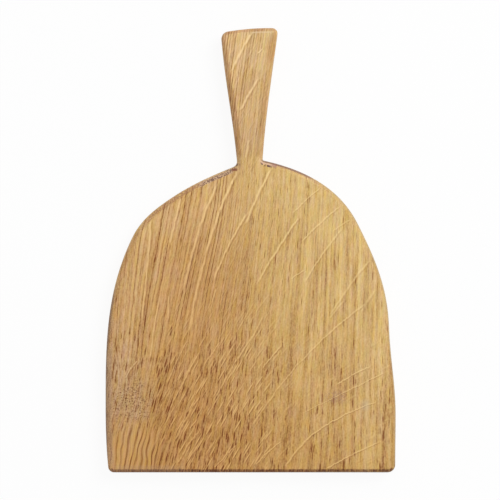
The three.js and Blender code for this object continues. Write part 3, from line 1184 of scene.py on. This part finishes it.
@dataclass(frozen=True)
class OakFinish:
    """Oiled quarter-sawn oak: grain, rays, edge wear and painted shade and highlights put together as one
    material.
    """

    grain: OakGrain = OakGrain()
    rays: OakRays = OakRays()
    wear_and_shading: WearAndShading = WearAndShading()
    dark_oak: Colour = shown(190, 141, 79)
    pale_oak: Colour = shown(221, 186, 123)
    knot_oak: Colour = shown(196, 160, 120)
    heart_stain: Colour = (0.40, 0.21, 0.06, 1.0)
    sap_stain: Colour = (0.43, 0.25, 0.15, 1.0)
    heart_tint: Colour = (0.96, 0.88, 0.89, 1.0)
    grip_tint: Colour = (0.98, 0.98, 1.07, 1.0)
    neck_tint: Colour = (0.92, 0.91, 0.91, 1.0)
    left_tint: Colour = (1.06, 1.07, 1.16, 1.0)
    pale_stain: Colour = (1.33, 1.50, 1.75, 1.0)
    ray_stain: Colour = (1.52, 1.76, 2.1, 1.0)
    ray_shadow: Colour = (0.60, 0.46, 0.36, 1.0)
    pit_stain: Colour = (0.42, 0.30, 0.26, 1.0)
    drift_across: float = 0.0033
    drift_along: float = 0.0031
    drift_start: float = 0.6
    drift_full: float = 1.28
    heart_side: Span = (-40.0, -120.0)
    heart_lift: float = 0.45
    brow_along: Span = (-10.0, 75.0)
    brow_across: Span = (20.0, -60.0)
    brow_lift: float = 0.3
    neck_span: Span = (84.0, 116.0)
    neck_ease: float = 8.0
    left_span: Span = (-92.0, -118.0)
    gold_lump: Lump = (2.6, 14.0, 3.0)
    gold_slope: float = 0.9
    gold_offset: float = 0.515
    rose_lump: Lump = (2.1, 9.0, 2.6)
    rose_slope: float = 0.22
    rose_offset: float = 0.89
    knot_share: float = 0.5
    haze: Span = (-122.0, -108.0)
    haze_reach: Span = (22.0, 34.0)
    haze_share: float = 0.5
    shadow_share: float = 0.6
    pit_lump: Lump = (1.5, 1.3, 1.4)
    pit_levels: Span = (0.6, 0.68)
    crowd_share: float = 0.05
    pit_crowd: Span = (-99.0, -131.0)
    pit_reach: Span = (14.0, 20.0)
    roughness: float = 0.5
    pore_roughness: float = 0.12
    gloss: float = 0.3
    bump_strength: float = 0.35
    bump_depth: float = 0.3

    def base(self, graph: Graph, place: Place, region: Region) -> Socket:
        """Work out the colour under the grain, which runs paler towards the grip and the right side.

        Args:
            graph: The tree to add to.
            place: Where the point lies.
            region: The part of the board that it belongs to.

        Returns:
            The colour without grain.
        """
        heart_side = graph.fade(place.across, *self.heart_side, 0.0, self.heart_lift)
        lift = graph.fade(place.along, *self.brow_along, 0.0, self.brow_lift)
        brow = graph.times(lift, graph.fade(place.across, *self.brow_across))
        drift = graph.line(place.along, self.drift_along, self.drift_start)
        drift = graph.line(place.across, self.drift_across, drift)
        drift = graph.add(drift, heart_side, brow)
        base = graph.mix(graph.level(drift, 0.0, self.drift_full), self.dark_oak, self.pale_oak)
        base = graph.stain(region.striped, base, self.heart_tint)
        base = graph.stain(region.grip, base, self.grip_tint)
        neck = graph.between(place.along, self.neck_span, self.neck_ease)
        base = graph.stain(neck, base, self.neck_tint)
        base = graph.stain(graph.fade(place.across, *self.left_span), base, self.left_tint)
        haze = graph.spot(place.across, place.along, self.haze, self.haze_reach)
        base = graph.mix(graph.times(haze, self.haze_share), base, self.knot_oak)
        return graph.mix(graph.times(region.knot, self.knot_share), base, self.knot_oak)

    def hue(self, graph: Graph, place: Place) -> Socket:
        """Vary the hue between golden and rosy in short streaks along the fibres.

        Args:
            graph: The tree to add to.
            place: Where the point lies.

        Returns:
            The colour to multiply by, about 1 on average.
        """
        gold = graph.noise(place.wood(), self.gold_lump, detail=1.0)
        rose = graph.noise(place.wood(), self.rose_lump, detail=1.0)
        red = graph.line(rose, self.rose_slope, self.rose_offset)
        return graph.paint(red, 1.0, graph.line(gold, self.gold_slope, self.gold_offset))

    def pits(self, graph: Graph, place: Place, region: Region) -> Socket:
        """Scatter small pits over the knot, more of them on its right side.

        Args:
            graph: The tree to add to.
            place: Where the point lies.
            region: The part of the board that it belongs to.

        Returns:
            How dark the pits are, from 0 to 1.
        """
        crowd = graph.spot(place.across, place.along, self.pit_crowd, self.pit_reach)
        lumps = graph.noise(place.point(), self.pit_lump, detail=1.0)
        lumps = graph.line(crowd, self.crowd_share, lumps)
        return graph.times(graph.fade(lumps, *self.pit_levels), region.knot)

    def colour(self, graph: Graph, place: Place, region: Region, tone: Socket) -> Socket:
        """Work out the colour of the wood from its place on the board and its tone.

        Args:
            graph: The tree to add to.
            place: Where the point lies.
            region: The part of the board that it belongs to.
            tone: How dark or pale the grain is.

        Returns:
            The colour before the edge marks and painted shading.
        """
        base = self.base(graph, place, region)
        ray = graph.stain(1.0, base, self.ray_stain)
        stain = graph.mix(region.sap, self.heart_stain, self.sap_stain)
        toned = graph.stain(graph.level(tone, 0.0, -1.0), base, stain)
        toned = graph.stain(graph.level(tone, 0.0, 1.0), toned, self.pale_stain)
        toned = graph.stain(1.0, toned, self.hue(graph, place))
        stroke, beside = self.rays.strokes(graph, place, region)
        toned = graph.stain(beside, toned, self.ray_shadow)
        toned = graph.mix(stroke, toned, ray)
        pale, dark = self.rays.rays(graph, place)
        shaded = graph.stain(graph.times(dark, self.shadow_share), toned, self.ray_shadow)
        crossed = graph.mix(pale, shaded, ray)
        return graph.stain(self.pits(graph, place, region), crossed, self.pit_stain)

    def material(self) -> bpy.types.Material:
        """Build the oak's material.

        Returns:
            The material.
        """
        made = bpy.data.materials.new("oiled_oak")
        made.use_nodes = True
        graph = Graph(made.node_tree)
        shader = made.node_tree.nodes["Principled BSDF"]
        place = self.grain.place(graph)
        region = self.grain.regions(graph, place)
        tone, pores = self.grain.tone(graph, place, region)
        colour = self.wear_and_shading.apply(graph, place, self.colour(graph, place, region, tone))
        graph.feed(shader.inputs["Base Color"], colour)
        graph.feed(shader.inputs["Roughness"], graph.line(pores, self.pore_roughness, self.roughness))
        shader.inputs["Specular IOR Level"].default_value = self.gloss
        bump = graph.node("ShaderNodeBump")
        bump.inputs["Strength"].default_value = self.bump_strength
        bump.inputs["Distance"].default_value = self.bump_depth * MM
        graph.feed(bump.inputs["Height"], tone)
        graph.feed(shader.inputs["Normal"], bump.outputs[0])
        return made


@dataclass
class Plank:
    """The board's one piece: blade, neck and grip cut from a plank, with hand-rounded edges.

    Sizes are metres. The outline and the round-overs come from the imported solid.
    """

    name: str = "oak_plank"
    node: str = "oak_board"
    rows: int = 300
    columns: int = 72
    round_steps: int = 8
    wall_steps: int = 4
    samples: int = 8000
    corner_pull: float = 0.012
    support: float = 0.0006
    skin: float = 0.00004
    same_point: float = 0.00001
    upright_limit: float = 0.02
    neck_search: float = 0.15
    blade_top: float = 0.1
    shoulder_facing: Span = (0.25, 0.6)
    filed_least: float = 0.12
    filed_shoulder: float = 0.5
    end_share: float = 0.08

    def solid_outline(self) -> Tuple[np.ndarray, np.ndarray]:
        """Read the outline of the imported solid, anticlockwise, with the round-over at each point.

        The upright strips between the upper and lower round-overs carry the outline. Their points
        are put in order by their angle, seen from the middle of the blade below the neck's
        narrowest place and from the middle of the grip above it.

        Returns:
            The outline's points, shape (n, 2), and the round-over's radius at each of them.
        """
        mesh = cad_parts[self.node].data
        corners = np.empty(len(mesh.loops), np.int32)
        mesh.loops.foreach_get("vertex_index", corners)
        flat = np.empty(len(mesh.vertices) * 3)
        mesh.vertices.foreach_get("co", flat)
        triangles = flat.reshape(-1, 3)[corners].reshape(-1, 3, 3)
        normals = np.cross(triangles[:, 1] - triangles[:, 0], triangles[:, 2] - triangles[:, 0])
        upright = np.abs(normals[:, 2]) < self.upright_limit * np.linalg.norm(normals, axis=1)
        wall = triangles[upright].reshape(-1, 3)
        keys = np.round(wall[:, :2] / self.same_point).astype(np.int64)
        _, first, group = np.unique(keys, axis=0, return_index=True, return_inverse=True)
        points = wall[first, :2]
        radius = np.full(len(points), np.inf)
        np.minimum.at(radius, group.ravel(), wall[:, 2])
        away = np.where(np.abs(points[:, 1]) > self.neck_search, np.inf, np.abs(points[:, 0]))
        return self.in_order(points, radius, points[np.argmin(away), 1])

    def in_order(
        self, points: np.ndarray, radius: np.ndarray, neck: float
    ) -> Tuple[np.ndarray, np.ndarray]:
        """Put outline points in order, anticlockwise from the neck's left side round to its right.

        Args:
            points: The points, shape (n, 2).
            radius: The round-over at each of them.
            neck: Height of the neck's narrowest place.

        Returns:
            The points and round-overs in order.
        """
        above = points[:, 1] > neck
        blade = points[~above]
        grip = points[above]
        blade_turn = np.arctan2(blade[:, 0], blade[:, 1].mean() - blade[:, 1])
        grip_middle = (grip[:, 1].min() + grip[:, 1].max()) / 2.0
        grip_turn = np.arctan2(-grip[:, 0], grip[:, 1] - grip_middle)
        blade_order = np.flatnonzero(~above)[np.argsort(blade_turn)]
        grip_order = np.flatnonzero(above)[np.argsort(grip_turn)]
        order = np.concatenate([blade_order, grip_order])
        return points[order], radius[order]

    def smooth_outline(self) -> Tuple[np.ndarray, np.ndarray]:
        """Carry a smooth closed curve through the solid's outline points.

        Between two points it is the cubic that leaves each of them along the chord of its two
        neighbours, sampled evenly by length.

        Returns:
            Points on the curve, shape (samples, 2), and the round-over's radius at each.
        """
        points, radius = self.solid_outline()
        after = np.roll(points, -1, axis=0)
        length = np.linalg.norm(after - points, axis=1)
        tangent = (after - np.roll(points, 1, axis=0)) / (length + np.roll(length, 1))[:, None]
        ends = np.concatenate([[0.0], np.cumsum(length)])
        run = np.linspace(0.0, ends[-1], self.samples, endpoint=False)
        span = np.searchsorted(ends, run, side="right") - 1
        share = ((run - ends[span]) / length[span])[:, None]
        pull = length[span][:, None]
        following = (span + 1) % len(points)
        curve = (
            (1 + 2 * share) * (1 - share) ** 2 * points[span]
            + share * (1 - share) ** 2 * pull * tangent[span]
            + share**2 * (3 - 2 * share) * points[following]
            + share**2 * (share - 1) * pull * tangent[following]
        )
        eased = np.interp(run, ends, np.append(radius, radius[0]))
        return curve, eased

    def stations(self) -> Tuple[np.ndarray, np.ndarray, np.ndarray]:
        """Choose the stations round the edge.

        The loop is cut at its four corners, the points that lie furthest along the diagonals. The
        foot and the grip's end have as many stations as each other, and so have the two sides,
        where a left and a right station lie at the same share of the height. They crowd where the
        edge turns.

        Returns:
            Station points, outward normals and round-over radii, from the foot's left corner
            anticlockwise.
        """
        curve, radius = self.smooth_outline()
        start = np.argmax(-curve[:, 0] - curve[:, 1])
        curve = np.roll(curve, -start, axis=0)
        radius = np.roll(radius, -start)
        step = np.roll(curve, -1, axis=0) - curve
        tangent = np.roll(curve, -1, axis=0) - np.roll(curve, 1, axis=0)
        tangent /= np.linalg.norm(tangent, axis=1)[:, None]
        bend = np.linalg.norm(np.roll(tangent, -1, axis=0) - tangent, axis=1)
        measure = np.linalg.norm(step, axis=1) + self.corner_pull * bend
        run = np.concatenate([[0.0], np.cumsum(measure)])
        foot_right = np.argmax(curve[:, 0] - curve[:, 1])
        end_right = np.argmax(curve[:, 0] + curve[:, 1])
        end_left = np.argmax(curve[:, 1] - curve[:, 0])
        last = len(curve)
        index = np.arange(last + 1)
        heights = np.append(curve[:, 1], curve[0, 1])
        right = index[foot_right : end_right + 1]
        left = index[end_left : last + 1][::-1]
        right_share = (heights[right] - heights[right[0]]) / np.ptp(heights[right])
        left_share = (heights[left] - heights[left[0]]) / np.ptp(heights[left])
        shares = np.linspace(0.0, 1.0, self.samples)
        rise = np.interp(shares, right_share, run[right] - run[right[0]])
        rise = rise + np.interp(shares, left_share, run[left[0]] - run[left])
        share = np.interp(np.linspace(0.0, rise[-1], self.rows + 1), rise, shares)
        foot_run = np.linspace(0.0, run[foot_right], self.columns + 1)
        end_run = np.linspace(run[end_right], run[end_left], self.columns + 1)
        marks = np.concatenate(
            [
                np.interp(foot_run, run, index)[:-1],
                np.interp(share, right_share, right)[:-1],
                np.interp(end_run, run, index)[:-1],
                np.interp(share, left_share, left)[::-1][:-1],
            ]
        )
        wrapped = np.append(curve, curve[:1], axis=0)
        turned = np.append(tangent, tangent[:1], axis=0)
        points = np.stack([np.interp(marks, index, wrapped[:, axis]) for axis in (0, 1)], axis=1)
        along = np.stack([np.interp(marks, index, turned[:, axis]) for axis in (0, 1)], axis=1)
        along /= np.linalg.norm(along, axis=1)[:, None]
        outward = np.stack([along[:, 1], -along[:, 0]], axis=1)
        return points, outward, np.interp(marks, index, np.append(radius, radius[0]))

    def rim(self) -> Tuple[np.ndarray, np.ndarray, np.ndarray]:
        """Carry the edge's section round the outline.

        The section runs from the underside up to the serving face. A point of the round-over at
        angle a lies r (1 - sin a) inside the outline and r (1 - cos a) from the face, which is
        mixed with the straight chamfer between the same ends where the shoulders were filed flat.

        Returns:
            The rings of points, shape (rings, stations, 3), how far each lies inside the outline,
            and which way the edge faces along the board at each station.
        """
        points, outward, radius = self.stations()
        low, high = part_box(self.node)
        thickness = high.z - low.z
        share = np.linspace(0.0, 1.0, self.round_steps + 1)
        angle = share * math.pi / 2.0
        filed = self.filed_share(points, outward)[None, :]
        inset = radius * ((1 - np.sin(angle))[:, None] * (1 - filed) + (1 - share)[:, None] * filed)
        rise = radius * ((1 - np.cos(angle))[:, None] * (1 - filed) + share[:, None] * filed)
        support_inset = radius[None, :] + self.support
        level = np.zeros_like(support_inset)
        wall_share = np.linspace(0.0, 1.0, self.wall_steps + 1)[1:-1, None]
        wall_rise = radius + wall_share * (thickness - 2 * radius)
        inset = np.concatenate([support_inset, inset, np.zeros_like(wall_rise), inset[::-1], support_inset])
        height = np.concatenate([level, rise, wall_rise, thickness - rise[::-1], level + thickness])
        place = points[None] - (inset + self.skin)[..., None] * outward[None]
        rings = np.concatenate([place, (low.z + height)[..., None]], axis=2)
        return rings, inset, outward[:, 1]

    def filed_share(self, points: np.ndarray, outward: np.ndarray) -> np.ndarray:
        """Say how flat the edge was filed: most on the shoulders, a little elsewhere.

        Args:
            points: The stations.
            outward: Their outward normals.

        Returns:
            Share of the flat chamfer in the section at each station.
        """
        on_blade = points[:, 1] < self.blade_top
        shoulder = np.interp(outward[:, 1], self.shoulder_facing, (0.0, 1.0)) * on_blade
        return self.filed_least + self.filed_shoulder * shoulder

    def face_grid(self, ring: np.ndarray) -> np.ndarray:
        """Fill a face inside a ring of the rim with a grid.

        A row is the straight line between its left and right ends. Near the foot and the grip's
        end it takes up the difference between that line and the edge, which fades over the first
        and last rows.

        Args:
            ring: The ring's points, shape (stations, 3).

        Returns:
            The points inside the ring, shape (rows - 1, columns - 1, 3).
        """
        sides = self.ring_sides(np.arange(len(ring)))
        foot, right, end, left = (ring[side] for side in sides)
        row = np.linspace(0.0, 1.0, self.rows + 1)[:, None, None]
        column = np.linspace(0.0, 1.0, self.columns + 1)[None, :, None]
        straight = (1 - column) * left[:, None] + column * right[:, None]
        near_foot = np.clip(1 - row / self.end_share, 0.0, 1.0) ** 2
        near_end = np.clip(1 - (1 - row) / self.end_share, 0.0, 1.0) ** 2
        grid = straight + near_foot * (foot - straight[0])[None] + near_end * (end - straight[-1])[None]
        return grid[1:-1, 1:-1]

    def ring_sides(self, ring: np.ndarray) -> Tuple[np.ndarray, np.ndarray, np.ndarray, np.ndarray]:
        """Cut a ring's indices into the four sides of a face, each read upwards or to the right.

        Args:
            ring: Indices of the ring's points, in the order of the stations.

        Returns:
            Indices along the foot, the right side, the grip's end and the left side.
        """
        loop = np.append(ring, ring[0])
        foot = loop[: self.columns + 1]
        right = loop[self.columns : self.columns + self.rows + 1]
        end = loop[self.columns + self.rows : 2 * self.columns + self.rows + 1][::-1]
        left = loop[2 * self.columns + self.rows :][::-1]
        return foot, right, end, left

    def face_indices(self, ring: np.ndarray, first: int) -> np.ndarray:
        """Number the points of a face's grid, edge included.

        Args:
            ring: Indices of the ring that bounds the face.
            first: Index of the first point inside it.

        Returns:
            Indices, shape (rows + 1, columns + 1).
        """
        foot, right, end, left = self.ring_sides(ring)
        grid = np.empty((self.rows + 1, self.columns + 1), np.int64)
        inside = (self.rows - 1) * (self.columns - 1)
        grid[1:-1, 1:-1] = first + np.arange(inside).reshape(self.rows - 1, self.columns - 1)
        grid[0] = foot
        grid[-1] = end
        grid[:, 0] = left
        grid[:, -1] = right
        return grid

    def build(self) -> bpy.types.Object:
        """Make the plank's mesh: the rim's rings with a grid closing each face.

        Returns:
            The plank's object.
        """
        rings, inset, facing = self.rim()
        count = rings.shape[1]
        top = self.face_grid(rings[-1])
        bottom = self.face_grid(rings[0])
        points = np.concatenate([rings.reshape(-1, 3), top.reshape(-1, 3), bottom.reshape(-1, 3)])
        inner = top.shape[0] * top.shape[1]
        index = np.arange(rings.shape[0] * count).reshape(-1, count)
        looped = np.concatenate([index, index[:, :1]], axis=1)
        top_grid = self.face_indices(index[-1], index.size)
        bottom_grid = self.face_indices(index[0], index.size + inner)
        faces = np.concatenate([quads(looped), quads(top_grid), quads(bottom_grid)[:, ::-1]])
        mesh = bpy.data.meshes.new(self.name)
        mesh.from_pydata(points.tolist(), [], faces.tolist())
        mesh.polygons.foreach_set("use_smooth", np.ones(len(faces), bool))
        wall = rings[rings.shape[0] // 2, :, :2]
        edge, depth = nearest(top.reshape(-1, 3)[:, :2], wall)
        round_edge = np.tile(facing, len(rings))
        carry(mesh, "inset", np.concatenate([inset.ravel(), depth, depth]) / MM)
        carry(mesh, "facing", np.concatenate([round_edge, facing[edge], facing[edge]]))
        mesh.validate()
        piece = bpy.data.objects.new(self.name, mesh)
        bpy.context.scene.collection.objects.link(piece)
        return piece

    def dress(self, piece: bpy.types.Object, finish: OakFinish) -> None:
        """Give the plank its oak and set it in the frame in place of the solid.

        Args:
            piece: The plank.
            finish: The oak.
        """
        piece.data.materials.append(finish.material())
        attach(piece, "root")
        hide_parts(self.node)


def quads(index: np.ndarray) -> np.ndarray:
    """Join a grid of point indices into four-sided faces.

    Args:
        index: Indices, shape (m, n).

    Returns:
        One row of four indices for each face.
    """
    corners = [index[:-1, :-1], index[:-1, 1:], index[1:, 1:], index[1:, :-1]]
    return np.stack([corner.ravel() for corner in corners], axis=1)


def nearest(points: np.ndarray, edge: np.ndarray) -> Tuple[np.ndarray, np.ndarray]:
    """Find the point of an edge that is nearest to each of many points.

    The squared distance between p and e is |p|^2 + |e|^2 - 2 p.e, worked out for all pairs at once.

    Args:
        points: The points, shape (n, 2).
        edge: The edge's points, shape (m, 2).

    Returns:
        Index of the nearest edge point, and the distance to it.
    """
    apart = (points**2).sum(axis=1)[:, None] + (edge**2).sum(axis=1)[None] - 2.0 * points @ edge.T
    index = apart.argmin(axis=1)
    return index, np.linalg.norm(points - edge[index], axis=1)


def carry(mesh: bpy.types.Mesh, name: str, values: np.ndarray) -> None:
    """Store a number at each point of a mesh.

    Args:
        mesh: The mesh.
        name: The attribute's name.
        values: One number for each point.
    """
    made = mesh.attributes.new(name, "FLOAT", "POINT")
    made.data.foreach_set("value", values.astype(np.float32))


@dataclass(frozen=True)
class Studio:
    """A pale floor, soft light from the upper right and a camera straight above. Sizes are metres."""

    view_width: float = 0.4507
    view_centre: Span = (-0.00054, 0.00018)
    focus_height: float = 0.0155
    lens: float = 135.0
    sensor: float = 36.0
    floor_size: float = 4.0
    floor_grey: float = 0.95
    floor_roughness: float = 0.9
    floor_glow: float = 0.92
    fill: float = 0.55
    key_power: float = 46.0
    key_size: float = 1.6
    key_place: Lump = (1.5, 1.2, 2.3)

    def camera(self) -> None:
        """Hang the camera straight above the board, with the grip towards the top of the picture."""
        made = bpy.data.cameras.new("camera")
        made.lens = self.lens
        made.sensor_width = self.sensor
        holder = bpy.data.objects.new("camera", made)
        distance = self.view_width * self.lens / self.sensor
        holder.location = (*self.view_centre, self.focus_height + distance)
        bpy.context.scene.collection.objects.link(holder)
        bpy.context.scene.camera = holder

    def background_ray(self, graph: Graph) -> Socket:
        """Say whether a ray comes from the camera, a reflection or a clear piece.

        Args:
            graph: The tree to add to.

        Returns:
            1 for such a ray, otherwise 0.
        """
        path = graph.node("ShaderNodeLightPath").outputs
        seen = graph.math(Sum.MAXIMUM, path["Is Camera Ray"], path["Is Glossy Ray"])
        return graph.math(Sum.MAXIMUM, seen, path["Is Transmission Ray"])

    def world(self) -> None:
        """Surround the scene with an even fill that looks white."""
        made = bpy.data.worlds.new("studio")
        made.use_nodes = True
        bpy.context.scene.world = made
        graph = Graph(made.node_tree)
        background = made.node_tree.nodes["Background"]
        background.inputs["Color"].default_value = (1.0, 1.0, 1.0, 1.0)
        strength = graph.level(self.background_ray(graph), 0.0, 1.0, self.fill, 1.0)
        graph.feed(background.inputs["Strength"], strength)

    def floor(self) -> bpy.types.Object:
        """Lay a pale floor that stays white to the camera and keeps a faint shadow.

        Returns:
            The floor's object.
        """
        half = self.floor_size / 2.0
        step = np.array([[-1, -1], [1, -1], [1, 1], [-1, 1]]) * half
        points = np.column_stack([step, np.zeros(4)])
        mesh = bpy.data.meshes.new("floor")
        mesh.from_pydata(points.tolist(), [], [(0, 1, 2, 3)])
        made = bpy.data.materials.new("pale_floor")
        made.use_nodes = True
        graph = Graph(made.node_tree)
        paint = made.node_tree.nodes["Principled BSDF"]
        paint.inputs["Base Color"].default_value = (self.floor_grey, self.floor_grey, self.floor_grey, 1.0)
        paint.inputs["Roughness"].default_value = self.floor_roughness
        paint.inputs["Specular IOR Level"].default_value = 0.0
        glow = graph.node("ShaderNodeEmission")
        unlit = graph.times(self.background_ray(graph), self.floor_glow)
        blend = graph.node("ShaderNodeMixShader", unlit, paint.outputs[0], glow.outputs[0])
        graph.feed(made.node_tree.nodes["Material Output"].inputs["Surface"], blend.outputs[0])
        mesh.materials.append(made)
        piece = bpy.data.objects.new("floor", mesh)
        bpy.context.scene.collection.objects.link(piece)
        return piece

    def key(self) -> None:
        """Set one large soft lamp to the upper right."""
        made = bpy.data.lights.new("key", "AREA")
        made.energy = self.key_power
        made.size = self.key_size
        holder = bpy.data.objects.new("key", made)
        place = Vector(self.key_place)
        holder.location = place
        holder.rotation_euler = place.to_track_quat("Z", "Y").to_euler()
        bpy.context.scene.collection.objects.link(holder)

    def build(self) -> None:
        """Set up camera, light and floor."""
        bpy.context.scene.view_settings.view_transform = "Standard"
        self.camera()
        self.world()
        self.key()
        self.floor()


def main() -> None:
    """Build the studio and the board, and report each piece."""
    logging.basicConfig(level=logging.INFO, format="%(name)s: %(message)s")
    Studio().build()
    LOG.info("studio set up")
    plank = Plank()
    piece = plank.build()
    plank.dress(piece, OakFinish())
    LOG.info("%s: %d points, %d faces", piece.name, len(piece.data.vertices), len(piece.data.polygons))


if __name__ == "__main__":
    main()
